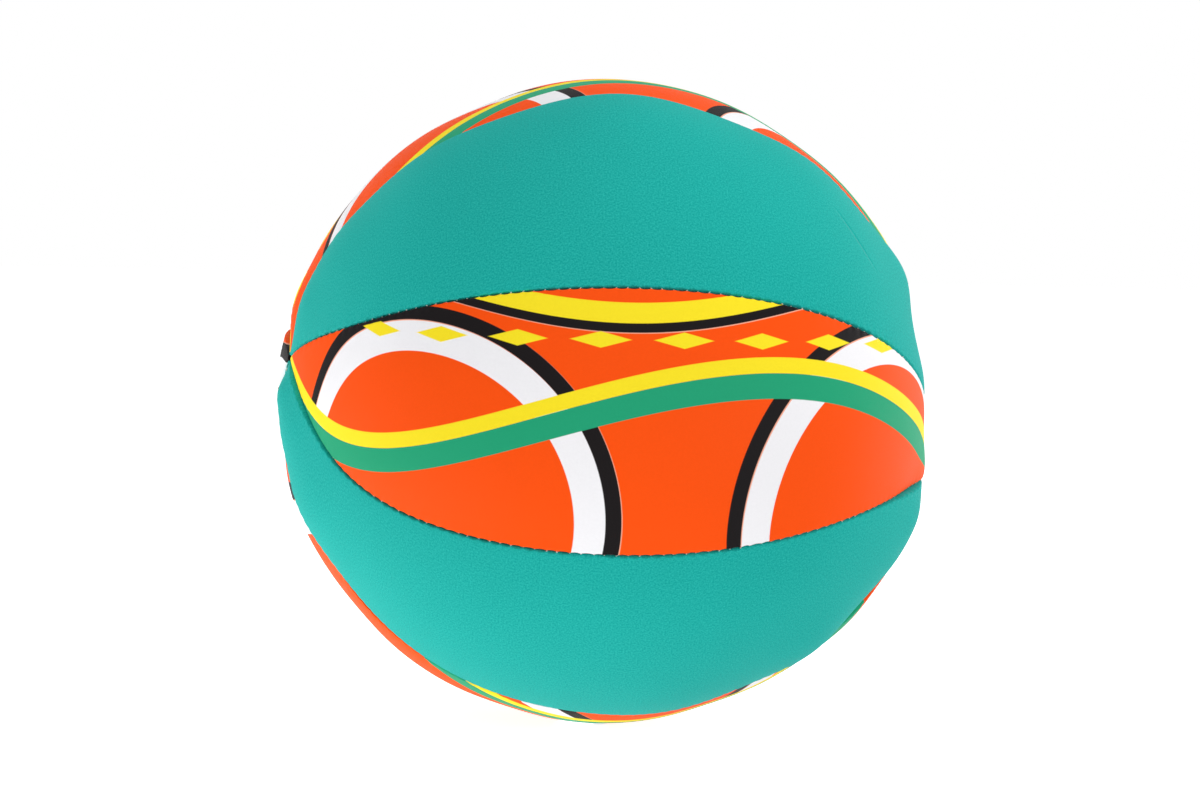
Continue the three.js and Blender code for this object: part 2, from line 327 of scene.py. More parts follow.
def in_seam(seam, s, across_way, depth):
    """Points in the groove after a gore: as deep as the lower of its two gores puts them, with
    across_way, in metres, measured from the seam towards the next gore."""
    turn = across_way / (BALL_RADIUS * np.sin(s))
    out = direction(s, (seam + 0.5) * PITCH + turn)
    edge = np.ones_like(s)
    lower = np.minimum(swell(seam, out, edge), swell((seam + 1) % GORES, out, -edge))
    return out * (BALL_RADIUS - SEAM_SINK * np.sin(s) - depth + lower)[..., None]


def needle_holes(seam):
    """The s of each needle hole of a seam: one stitch apart along the sum of the seam's short chords,
    each a little off its place."""
    s = np.linspace(TIP_ANGLE, math.pi - TIP_ANGLE, 3000)
    points = BALL_RADIUS * direction(s, (seam + 0.5) * PITCH)
    chords = np.linalg.norm(np.diff(points, axis=0), axis=1)
    way = np.concatenate([[0], np.cumsum(chords)])
    random = np.random.default_rng(SEED + 100 + seam)
    places = np.arange(STITCH_START, way[-1] - STITCH_START, STITCH)
    places = places + random.uniform(-STITCH_SCATTER, STITCH_SCATTER, len(places)) * STITCH
    return np.interp(places, way, s)


HOLES = [needle_holes(seam) for seam in range(GORES)]


def pinch(seam, s):
    """1 at each needle hole and 0 halfway to the next: a squared cosine of the holes passed, raised
    to a power that keeps the tight places short."""
    passed = np.interp(s, HOLES[seam], np.arange(len(HOLES[seam])))
    return (np.cos(np.pi * passed) ** 2) ** PINCH_SHARPNESS


def smooth_step(share):
    """A smooth rise from 0 to 1: 3 share squared less 2 share cubed, for shares held to 0 and 1."""
    share = np.clip(share, 0, 1)
    return share * share * (3 - 2 * share)


# Meshes
def grid_faces(rows, columns, first=0, looped=False):
    """Quads over a grid of points, row by row, whose last column meets its first. A looped grid's last
    row meets its first as well."""
    row = np.arange(rows if looped else rows - 1)[:, None]
    here, there = row * columns, (row + 1) % rows * columns
    column = np.arange(columns)[None, :]
    beside = (column + 1) % columns
    quads = np.stack([here + column, here + beside, there + beside, there + column], -1)
    return (quads.reshape(-1, 4) + first).tolist()


def capped_faces(rows, columns, first=0):
    """A grid's quads with a flat face over each end, the first row's turned round so that it faces the
    same way as they do."""
    last = first + (rows - 1) * columns
    ends = [list(range(first, first + columns))[::-1], list(range(last, last + columns))]
    return grid_faces(rows, columns, first) + ends


def make_mesh(name, points, faces):
    """A smooth mesh object at the origin from points and faces."""
    mesh = bpy.data.meshes.new(name)
    mesh.from_pydata(points.reshape(-1, 3).tolist(), [], faces)
    mesh.update()
    mesh.polygons.foreach_set("use_smooth", [True] * len(mesh.polygons))
    piece = bpy.data.objects.new(name, mesh)
    bpy.context.scene.collection.objects.link(piece)
    return piece


def closed_mesh(name, points, faces):
    """A closed mesh object with its faces outwards: its volume, as the sum of its triangles' triple
    products, has to come out above zero."""
    piece = make_mesh(name, points, faces)
    mesh = piece.data
    mesh.calc_loop_triangles()
    corners = np.empty(len(mesh.loop_triangles) * 3, int)
    mesh.loop_triangles.foreach_get("vertices", corners)
    a, b, c = points.reshape(-1, 3)[corners.reshape(-1, 3)].transpose(1, 0, 2)
    if (a * np.cross(b, c)).sum() < 0:
        mesh.flip_normals()
    return piece


def revolved(name, profile, sides=96):
    """A profile of radius and distance along the valve's axis, which is +Y, turned about that axis:
    (radius cos turn, distance, radius sin turn). It is a loop, or starts and ends on the axis, where a
    fan of triangles joins it to one point."""
    radius, distance = np.array(profile, float).T[..., None]
    turn = np.linspace(0, FULL_TURN, sides, endpoint=False)
    points = np.stack([radius * np.cos(turn), distance + 0 * turn, radius * np.sin(turn)], -1)
    if radius[0] > 0:
        return closed_mesh(name, points, grid_faces(len(profile), sides, looped=True))
    rings = len(profile) - 2
    pole, last = rings * sides, (rings - 1) * sides
    column = np.arange(sides)
    beside = (column + 1) % sides
    near_fan = np.stack([beside, column, np.full(sides, pole)], -1)
    far_fan = np.stack([last + column, last + beside, np.full(sides, pole + 1)], -1)
    faces = grid_faces(rings, sides) + near_fan.tolist() + far_fan.tolist()
    return closed_mesh(name, np.concatenate([points[1:-1].reshape(-1, 3), points[[0, -1], 0]]), faces)


def grid_map(rows, columns):
    """A place on a map for each point of a grid, from its rows' and columns' places."""
    return np.stack(np.meshgrid(rows, columns, indexing="ij"), -1).reshape(-1, 2)


def add_map(piece, name, places):
    """Gives a piece a UV map, from a place for each of its points."""
    mesh = piece.data
    corners = np.empty(len(mesh.loops), int)
    mesh.loops.foreach_get("vertex_index", corners)
    mesh.uv_layers.new(name=name).data.foreach_set("uv", places[corners].astype(np.float32).ravel())


def add_piece(piece, materials, slot, *nodes):
    """Finishes a piece: its materials, the nodes it stands for, and the body it rides on. The slot is not
    used.
    """
    for material in materials:
        piece.data.materials.append(material)
    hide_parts(*nodes)
    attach(piece, "root")


# Materials
def paint(red, green, blue):
    """A colour as it shows on a screen, 0 to 255, made linear."""
    levels = [level / 255 for level in (red, green, blue)]
    return [x / 12.92 if x <= 0.04045 else ((x + 0.055) / 1.055) ** 2.4 for x in levels] + [1.0]


ORANGE = paint(254, 84, 19)
YELLOW = paint(253, 230, 42)
GREEN = paint(38, 162, 118)
WHITE = paint(245, 244, 247)
BLACK = paint(29, 26, 27)
THIN_INK = paint(250, 178, 150)
TEAL_SHADE, TEAL_LIGHT = paint(7, 159, 150), paint(38, 184, 174)


class Field:
    """A number at each point of a surface, worked out by a material's nodes with plain arithmetic."""

    def __init__(self, tree, socket):
        self.tree = tree
        self.socket = socket

    def math(self, operation, *others):
        node = self.tree.nodes.new("ShaderNodeMath")
        node.operation = operation
        for i, value in enumerate((self, *others)):
            if isinstance(value, Field):
                self.tree.links.new(value.socket, node.inputs[i])
            else:
                node.inputs[i].default_value = value
        return Field(self.tree, node.outputs[0])

    def __add__(self, other):
        return self.math("ADD", other)

    def __sub__(self, other):
        return self.math("SUBTRACT", other)

    def __mul__(self, other):
        return self.math("MULTIPLY", other)

    def __truediv__(self, other):
        return self.math("DIVIDE", other)

    def __neg__(self):
        return self.math("MULTIPLY", -1.0)

    def sin(self):
        return self.math("SINE")

    def cos(self):
        return self.math("COSINE")

    def abs(self):
        return self.math("ABSOLUTE")

    def sqrt(self):
        return self.math("SQRT")

    def fract(self):
        return self.math("FRACT")

    def most(self, other):
        return self.math("MAXIMUM", other)

    def wrapped(self, period):
        """The same number less whole periods, from minus half a period to plus half of one."""
        return self.math("WRAP", period / 2, -period / 2)

    def below(self, limit, blur):
        """1 below the limit and 0 above it, with a border that is as wide as the blur."""
        node = (-self + limit) / blur + 0.5
        node.socket.node.use_clamp = True
        return node

    def between(self, low, high, blur):
        """1 between two limits and 0 outside them, with borders that are as wide as the blur."""
        return self.below(high, blur) * (-self).below(-low, blur)


def new_material(name):
    """An empty material with a principled shader, and its nodes."""
    material = bpy.data.materials.new(name)
    material.use_nodes = True
    return material, material.node_tree, material.node_tree.nodes["Principled BSDF"]


def uv_place(tree, name):
    """The place of each point on one of its piece's maps."""
    node = tree.nodes.new("ShaderNodeUVMap")
    node.uv_map = name
    return node.outputs[0]


def parts_of(tree, vector):
    """The three numbers of a vector, as fields."""
    node = tree.nodes.new("ShaderNodeSeparateXYZ")
    tree.links.new(vector, node.inputs[0])
    return [Field(tree, socket) for socket in node.outputs]


def cloth_place(tree):
    """The place on the flat cloth in millimetres, along the gore and across it, and as a vector."""
    vector = uv_place(tree, "cloth")
    along, across, _ = parts_of(tree, vector)
    return along * (MAP_UNIT / MM), across * (MAP_UNIT / MM), vector


def noise(tree, vector, scale, detail=2.0, roughness=0.5):
    """A noise field from about 0 to 1 on a vector."""
    node = tree.nodes.new("ShaderNodeTexNoise")
    node.inputs["Scale"].default_value = scale
    node.inputs["Detail"].default_value = detail
    node.inputs["Roughness"].default_value = roughness
    tree.links.new(vector, node.inputs["Vector"])
    return Field(tree, node.outputs["Fac"])


def mixed(tree, factor, first, second):
    """One colour laid over another by a factor. A colour is four numbers or a socket."""
    node = tree.nodes.new("ShaderNodeMix")
    node.data_type = "RGBA"
    tree.links.new(factor.socket, node.inputs["Factor"])
    for socket, colour in ((node.inputs["A"], first), (node.inputs["B"], second)):
        if isinstance(colour, bpy.types.NodeSocket):
            tree.links.new(colour, socket)
        else:
            socket.default_value = colour
    return node.outputs["Result"]


def shaded(tree, colour, factor):
    """A colour made lighter or darker by a factor near 1."""
    node = tree.nodes.new("ShaderNodeVectorMath")
    node.operation = "SCALE"
    if isinstance(colour, bpy.types.NodeSocket):
        tree.links.new(colour, node.inputs[0])
    else:
        node.inputs[0].default_value = colour[:3]
    tree.links.new(factor.socket, node.inputs["Scale"])
    return node.outputs[0]


def bumped(tree, shader, height, distance):
    """Joins a height field to a shader as a bump of the given depth in metres."""
    node = tree.nodes.new("ShaderNodeBump")
    node.inputs["Distance"].default_value = distance
    tree.links.new(height.socket, node.inputs["Height"])
    tree.links.new(node.outputs[0], shader.inputs["Normal"])


def knit_height(along, across, vector, tree):
    """A fine jersey knit: in each column the loops are a cosine along the gore, which leans up to both
    sides of the column so that they read as small vees, times a sine across it, plus a noise."""
    lean = ((across / KNIT_COLUMN).fract() - 0.5).abs()
    row = (along / KNIT_ROW + lean * 1.1) * FULL_TURN
    rounded = (lean * math.pi).sin()
    loops = (row.cos() * 0.5 + 0.5) * (-rounded * 0.6 + 1.0)
    return loops * 0.7 + noise(tree, vector, 180.0, detail=3.0, roughness=0.6) * 0.6


def crease(along, across):
    """1 along the middle of a fine crease, the straight line through CREASE_AT in the direction
    CREASE_WAY on the cloth, and 0 from 1 mm beside it and past its two ends."""
    x, y = along - CREASE_AT[0], across - CREASE_AT[1]
    beside = (x * -CREASE_WAY[1] + y * CREASE_WAY[0]).abs()
    past = (x * CREASE_WAY[0] + y * CREASE_WAY[1]).abs()
    return beside.below(0.5, 1.0) * past.below(CREASE_LENGTH / 2 - 2.0, 8.0)


def teal_cloth():
    """Matt dyed knit: a fine speckle and a slow unevenness of colour, a knitted bump, one fine crease
    and a soft sheen."""
    material, tree, shader = new_material("teal_knit")
    along, across, vector = cloth_place(tree)
    speckle = noise(tree, vector, 180.0, detail=1.0) * 2.4 - 0.7
    slow = noise(tree, vector, 3.0) * 0.05 + 0.975
    fleck = mixed(tree, speckle, TEAL_SHADE, TEAL_LIGHT)
    tree.links.new(shaded(tree, fleck, slow), shader.inputs["Base Color"])
    shader.inputs["Roughness"].default_value = 0.8
    shader.inputs["Sheen Weight"].default_value = 0.05
    shader.inputs["Sheen Roughness"].default_value = 0.35
    shader.inputs["Specular IOR Level"].default_value = 0.1
    height = knit_height(along, across, vector, tree) - crease(along, across) * CREASE_DEPTH
    bumped(tree, shader, height, 0.00006)
    return material


def ring(place, inner, outer):
    """1 on a printed ring: the points between two distances from the nearest of a row of centres."""
    x = (place[0] - RING_CENTRE[0]).wrapped(RING_EVERY[0])
    y = (place[1] - RING_CENTRE[1]).wrapped(RING_EVERY[1])
    return (x * x + y * y).sqrt().between(inner, outer, PRINT_BLUR)


def ribbon(place, wave, low, high):
    """1 on a wavy ribbon: the points between two ways across from a sine wave along the cloth, which is
    repeated across it."""
    length, height, start = wave
    bend = ((place[0] + start) * (FULL_TURN / length)).sin() * height
    return (place[1] - bend).wrapped(RIBBON_EVERY).between(low, high, PRINT_BLUR)


def lozenge(place):
    """1 on a row of lozenges: where the ways from the nearest one's middle, as shares of its half length
    and half width, add up to less than 1."""
    x = (place[0] - LOZENGE_CENTRE[0]).wrapped(LOZENGE_EVERY[0]).abs() / LOZENGE_HALF[0]
    y = (place[1] - LOZENGE_CENTRE[1]).wrapped(LOZENGE_EVERY[1]).abs() / LOZENGE_HALF[1]
    return (x + y).below(1.0, 0.12)


def print_cloth():
    """Printed knit: an orange ground with the inks of a generic print laid over it in turn, the black a
    little off its place, so that a hairline of thin ink shows beside it."""
    material, tree, shader = new_material("printed_knit")
    along, across, vector = cloth_place(tree)
    place = along, across
    slipped = along + PRINT_SLIP[0], across + PRINT_SLIP[1]
    colour = ORANGE
    for mask, ink in (
            (ring(place, *RING), WHITE),
            (ring(place, *RING_EDGE), THIN_INK),
            (ring(slipped, *RING_EDGE), BLACK),
            (ribbon(place, YELLOW_WAVE, *YELLOW_RIBBON), YELLOW),
            (ribbon(place, YELLOW_WAVE, *YELLOW_EDGE), THIN_INK),
            (ribbon(slipped, YELLOW_WAVE, *YELLOW_EDGE), BLACK),
            (ribbon(place, GREEN_WAVE, *GREEN_RIBBON), GREEN),
            (ribbon(place, GREEN_WAVE, *GREEN_EDGE), YELLOW),
            (lozenge(place), YELLOW)):
        colour = mixed(tree, mask, colour, ink)
    density = noise(tree, vector, 110.0, roughness=0.6) * 0.06 + 0.97
    tree.links.new(shaded(tree, colour, density), shader.inputs["Base Color"])
    shader.inputs["Roughness"].default_value = 0.5
    shader.inputs["Specular IOR Level"].default_value = 0.03
    bumped(tree, shader, knit_height(along, across, vector, tree), 0.00004)
    return material


def thread(name, colour):
    """Spun thread: two plies that twist along it, as a bump on its own map, and a painted shade that darkens
    the colour between the plies and lightens it on them.
    """
    material, tree, shader = new_material(name)
    along, round_it, _ = parts_of(tree, uv_place(tree, "strand"))
    twist = ((along * 1.4 + round_it * 2.0) * FULL_TURN).sin()
    # The colour follows the twist's bump: painted shade between the plies.
    tree.links.new(shaded(tree, colour, twist * 0.12 + 0.95), shader.inputs["Base Color"])
    shader.inputs["Roughness"].default_value = 0.6
    shader.inputs["Sheen Weight"].default_value = 0.2
    bumped(tree, shader, twist, 0.00004)
    return material


def rubber(name, colour, roughness, grain):
    """Moulded rubber: slightly uneven shade and gloss with a fine grain, on Object coordinates."""
    material, tree, shader = new_material(name)
    place = tree.nodes.new("ShaderNodeTexCoord").outputs["Object"]
    coarse = noise(tree, place, 60.0, detail=3.0)
    tree.links.new(shaded(tree, colour, coarse * 0.3 + 0.85), shader.inputs["Base Color"])
    tree.links.new((coarse * 0.2 + roughness - 0.1).socket, shader.inputs["Roughness"])
    bumped(tree, shader, noise(tree, place, grain), 0.00005)
    return material


def patch_weave():
    """Plain woven cloth: threads over and under in a chequer, the product of two sines, on Object
    coordinates, with painted shade: the colour is lighter where the weave stands up and darker in its
    hollows."""
    material, tree, shader = new_material("patch_weave")
    x, _, z = parts_of(tree, tree.nodes.new("ShaderNodeTexCoord").outputs["Object"])
    threads = math.pi / 0.0006
    weave = (x * threads).sin() * (z * threads).sin()
    # Painted shade: the colour follows the weave's bump.
    tree.links.new(shaded(tree, paint(43, 51, 54), weave * 0.15 + 0.9), shader.inputs["Base Color"])
    shader.inputs["Roughness"].default_value = 0.9
    bumped(tree, shader, weave, 0.0001)
    return material


TEAL_CLOTH = teal_cloth()
PRINT_CLOTH = print_cloth()
# The dark thread's colour is partly painted shade: it darkens the seams' grooves and the tip holes.
DARK_THREAD_AND_SHADE = thread("dark_thread_and_painted_shade", paint(32, 44, 44))
LIGHT_THREAD = thread("light_thread", paint(226, 232, 222))
BLADDER_RUBBER = rubber("bladder_rubber", paint(38, 38, 41), 0.5, 900.0)
VALVE_RUBBER = rubber("valve_rubber", paint(30, 30, 31), 0.45, 2500.0)
PATCH_WEAVE = patch_weave()


# The gores
def turned_edge(half):
    """How far from a gore's middle the fold of its edge begins, and how far in the cut edge lies."""
    fold = half - np.minimum(FOLD_RADIUS, FOLD_SHARE * half)
    return fold, fold - np.minimum(ALLOWANCE, ALLOWANCE_SHARE * half)


def half_section(s, pinched, shares):
    """One half of a gore's section at each s, outside and then inside, as ways across and depths.

    Outside it runs along the face, over the shoulder, which is a quarter of a superellipse, round the
    turned-under edge and along the allowance. Inside it follows one cloth's thickness away. Where a
    stitch pinches the seam, the edge lies deeper and the rounding is narrower, and between two stitches
    the edge puffs up and stands back.
    """
    s, pinched = s[:, None], pinched[:, None]
    half = half_width(s) - SEAM_GAP / 4
    fold, cut = turned_edge(half)
    shoulder = np.minimum(SHOULDER * (1 - PINCH_CLOSE * pinched), FOLD_SHARE * half)
    over = np.linspace(0, 1, SHOULDER_STEPS + 1) * math.pi / 2
    power = 2 / SHOULDER_POWER
    under = np.array([1, 2, 3]) / 3 * math.pi / 2
    stretches = [
        ((half - shoulder) * shares, 0.0),
        (half - shoulder + shoulder * np.sin(over) ** power, FOLD_RADIUS * (1 - np.cos(over) ** power)),
        (fold + (half - fold) * np.cos(under) ** UNDERSIDE_BEND,
         FOLD_RADIUS * (1 + np.sin(under) ** UNDERSIDE_BEND)),
        (fold + (cut - fold) * np.array([0.5, 1.0]), 2 * FOLD_RADIUS),
    ]
    across = np.concatenate([way for way, _ in stretches], 1)
    depth = np.concatenate([np.broadcast_to(level, way.shape) for way, level in stretches], 1)
    from_edge = half - across
    near = np.exp(-(from_edge / PINCH_WIDTH) ** 2) * (depth < 1.5 * FOLD_RADIUS)
    puff = np.exp(-((from_edge - SHOULDER) / PINCH_WIDTH) ** 2)
    depth = depth + PINCH_DEPTH * pinched * near - PUFF * (1 - pinched) * puff
    across = across - STITCH_OPEN * (1 - pinched) * near
    inside = np.concatenate([cut, fold, fold, 0.5 * fold], 1)
    inside_depth = np.array([2 * FOLD_RADIUS - CLOTH] * 2 + [CLOTH] * 2)
    return (np.concatenate([across, inside], 1),
            np.concatenate([depth, np.broadcast_to(inside_depth, inside.shape)], 1))


def face_shares(gore):
    """Shares of the way from a gore's middle to its shoulder: 1 less evenly falling shares to the 1.7,
    which lie closer together towards the shoulder. The valve's gore has even ones near its hole too."""
    shares = 1 - np.linspace(1, 0, FACE_STEPS + 1)[:-1] ** 1.7
    if gore != VALVE_GORE:
        return shares
    fine = np.linspace(0, HOLE_SHARE, FACE_STEPS + 1)[:-1]
    return np.concatenate([fine, HOLE_SHARE + (1 - HOLE_SHARE) * shares])


def panel_mesh(name, gore):
    """A gore and its place on the flat cloth: a closed band of points at each s, from the middle over
    the right edge, under it and back along the underside, and the same on the left, lofted from tip to
    tip with a flat cap at each. Round the valve's hole its face dips by exp(-(way / reach) squared)."""
    s = np.linspace(TIP_ANGLE, math.pi - TIP_ANGLE, RINGS)
    shares = face_shares(gore)
    right, right_depth = half_section(s, pinch(gore, s), shares)
    left, left_depth = half_section(s, pinch((gore - 1) % GORES, s), shares)
    middle = np.zeros((RINGS, 1))
    across = np.concatenate([right, middle, -left[:, :0:-1]], 1)
    depth = np.concatenate([right_depth, middle + CLOTH, left_depth[:, :0:-1]], 1)
    s = s[:, None]
    along = np.broadcast_to(BALL_RADIUS * (s - math.pi / 2), across.shape)
    if gore == VALVE_GORE:
        from_hole = np.hypot(along, across) - HOLE_RADIUS
        depth = depth + HOLE_DIP * np.exp(-(from_hole / HOLE_DIP_REACH) ** 2) * (depth < CLOTH / 2)
    points = on_gore(gore, s, across / half_width(s), depth)
    panel = closed_mesh(name, points, capped_faces(RINGS, across.shape[1]))
    return panel, np.stack([along, across], -1).reshape(-1, 2)


def punch_hole(panel):
    """Cuts the valve's round hole through a gore, and takes out the flat slivers left at its rim."""
    inner, outer = BALL_RADIUS - 0.02, BALL_RADIUS + 0.01
    cutter = revolved("hole_punch", [(0, inner), (HOLE_RADIUS, inner), (HOLE_RADIUS, outer), (0, outer)])
    cut = panel.modifiers.new("hole", "BOOLEAN")
    cut.operation = "DIFFERENCE"
    cut.object = cutter
    cut.solver = "EXACT"
    bpy.context.view_layer.update()
    evaluated = panel.evaluated_get(bpy.context.evaluated_depsgraph_get())
    mesh = bpy.data.meshes.new_from_object(evaluated)
    rim = bmesh.new()
    rim.from_mesh(mesh)
    bmesh.ops.dissolve_degenerate(rim, dist=HOLE_SLIVER, edges=rim.edges)
    rim.to_mesh(mesh)
    rim.free()
    panel.modifiers.clear()
    panel.data = mesh
    bpy.data.objects.remove(cutter)


def build_panels():
    """The eight gores, printed and teal in turn, each cut from its own place on the cloth."""
    for gore in range(GORES):
        number, teal = divmod(gore, 2)
        kind = "teal" if teal else "print"
        node = f"{kind}_panel_{number + 1}"
        panel, places = panel_mesh(node + "_cloth", gore)
        start = (TEAL_CUT_STEP * number, 0.0) if teal else PRINT_CUTS[number]
        add_map(panel, "cloth", (places + start) / MAP_UNIT)
        if gore == VALVE_GORE:
            punch_hole(panel)
        panel.data.set_sharp_from_angle(angle=SHARP_EDGE)
        add_piece(panel, [TEAL_CLOTH if teal else PRINT_CLOTH], f"{kind}_cloth", node)


# The stitches and the knots
def strand_points(seam, s):
    """A seam's dark strand: a tube in the groove, whose middle line dives by the pinch at each needle
    hole and whose rings stand across the seam. Its dark colour is thread and also painted shade, which
    deepens the groove's dark line."""
    turn = np.arange(STRAND_SIDES) * FULL_TURN / STRAND_SIDES
    depth = (STRAND_DEPTH + STRAND_DIVE * pinch(seam, s))[:, None]
    return in_seam(seam, s[:, None], STRAND_RADIUS * np.sin(turn), depth - STRAND_RADIUS * np.cos(turn))


def tick_points(seam, hole, random):
    """The light tick at a needle hole: a short tube over the groove, a little off its place and aslant,
    whose depth grows with the fourth power of the share of the way to its ends."""
    reach = random.uniform(*TICK_REACH)
    across_way = TICK_SPANS * reach + random.uniform(-TICK_SHIFT, TICK_SHIFT)
    depth = random.uniform(*TICK_DEPTH) + TICK_DROP * TICK_SPANS ** 4
    slant = random.uniform(-1.0, 1.0) * reach / BALL_RADIUS
    turn = np.arange(TICK_SIDES) * FULL_TURN / TICK_SIDES
    s = (hole + slant * TICK_SPANS)[:, None] + TICK_RADIUS / BALL_RADIUS * np.cos(turn)
    return in_seam(seam, s, across_way[:, None], depth[:, None] - TICK_RADIUS * np.sin(turn))


def build_stitches():
    """The stitches of all eight seams, one piece for each seam: its dark strand, partly painted shade in the
    groove, and its light ticks.
    """
    for seam, holes in enumerate(HOLES):
        random = np.random.default_rng(SEED + 200 + seam)
        s = np.linspace(holes[0], holes[-1], STRAND_RINGS * (len(holes) - 1) + 1)
        tubes = [(strand_points(seam, s), np.arange(len(s)) / 4, 0)]
        tubes += [(tick_points(seam, hole, random), TICK_SPANS * 2, 1) for hole in holes]
        points, faces, places, which = [], [], [], []
        count = 0
        for tube, along, thread_number in tubes:
            rows, sides = tube.shape[:2]
            tube_faces = capped_faces(rows, sides, count)
            faces += tube_faces
            which += [thread_number] * len(tube_faces)
            points.append(tube.reshape(-1, 3))
            places.append(grid_map(along, np.arange(sides) / sides))
            count += rows * sides
        piece = closed_mesh(f"seam_stitches_{seam + 1}", np.concatenate(points), faces)
        piece.data.polygons.foreach_set("material_index", which)
        add_map(piece, "strand", np.concatenate(places))
        # The strand's dark thread is partly painted shade in the groove.
        add_piece(piece, [DARK_THREAD_AND_SHADE, LIGHT_THREAD], "thread", f"seam_thread_{seam + 1}")


def build_tips():
    """The knots that close the tips: a profile turned about the tips' own direction, its radius and its
    height each with a cosine of eight times the turn for the lobes and the wound ridges. Their dark colour
    is partly painted shade in the tip holes."""
    shares, depths = np.array(KNOT_PROFILE).T
    rounds = np.linspace(0, FULL_TURN, KNOT_SIDES, endpoint=False)
    lobes = (1 + KNOT_LOBE * np.cos(GORES * rounds)) / (1 + KNOT_LOBE)
    spread = KNOT_RADIUS / BALL_RADIUS * shares[:, None] * lobes
    ridges = KNOT_RIDGE * np.cos(GORES * rounds + KNOT_TWIST * spread * BALL_RADIUS)
    for side, s in (("left", spread), ("right", math.pi - spread)):
        points = direction(s, rounds) * (BALL_RADIUS - depths[:, None] * MM + ridges)[..., None]
        knot = closed_mesh(f"tip_knot_{side}", points, capped_faces(len(shares), KNOT_SIDES))
        add_map(knot, "strand", grid_map(shares * 3, rounds / 2))
        # The knot's dark thread is partly painted shade in the tip hole.
        add_piece(knot, [DARK_THREAD_AND_SHADE], "thread", f"tip_tack_{side}")


# The bladder and the valve
def inner_depth(out, skin):
    """How deep the gores' inside lies under the ball's surface, plus a skin: one cloth deep in a gore's
    middle, and down to the turned-in edges with a smooth step where a gore is wide enough."""
    s, phi = undirected(out)
    across = np.abs(phi / PITCH - np.round(phi / PITCH)) * 2
    half = half_width(s)
    cut = turned_edge(half)[1]
    step = smooth_step((cut - across * half) / BLADDER_SLOPE) * np.clip(cut / BLADDER_FADE, 0, 1)
    sink = SEAM_SINK * across ** 2 * np.sin(s)
    return sink + 2 * FOLD_RADIUS + (CLOTH - 2 * FOLD_RADIUS) * step + skin


def walls(angle, sides, thickness, dish=0.0):
    """Two walls a thickness apart under the gores, the outer one backwards and then the inner one: polar
    grids about the valve's axis, in the directions (sin angle cos turn, cos angle, sin angle sin turn),
    at the ball's radius less the depth of the gores' inside, less a dish."""
    angle, turn = np.broadcast_arrays(angle[:, None], np.linspace(0, FULL_TURN, sides, endpoint=False))
    out = np.stack([np.sin(angle) * np.cos(turn), np.cos(angle), np.sin(angle) * np.sin(turn)], -1)
    radius = (BALL_RADIUS - inner_depth(out, CLEARANCE) - dish)[..., None]
    return np.concatenate([(out * radius)[::-1], out * (radius - thickness)])


def build_bladder():
    """The bladder: a closed rubber shell from the neck's hole, where its walls meet, to the front,
    dished by a smooth step under the patch."""
    hole = (NECK_RADIUS + CLEARANCE) / BALL_RADIUS
    near = np.linspace(hole, 0.2, 26)[:-1]
    far = np.linspace(0.2, math.pi, 85)[:-1]
    angle = np.concatenate([near, far, [math.pi - 0.002]])
    dish = (CLEARANCE + PATCH_THICKNESS) * smooth_step((DISH_RADIUS - BALL_RADIUS * angle) / DISH_SLOPE)
    points = walls(angle, 160, BLADDER_WALL, dish[:, None])
    shell = closed_mesh("bladder_shell", points, capped_faces(*points.shape[:2]))
    add_piece(shell, [BLADDER_RUBBER], "bladder_rubber", "bladder")


def build_patch():
    """The patch round the valve: two walls joined along the punched hole and along its own rim."""
    points = walls(np.linspace(HOLE_RADIUS, PATCH_RADIUS, 20) / BALL_RADIUS, 96, PATCH_THICKNESS)
    patch = closed_mesh("valve_patch_cloth", points, grid_faces(*points.shape[:2], looped=True))
    add_piece(patch, [PATCH_WEAVE], "patch_cloth", "valve_patch")


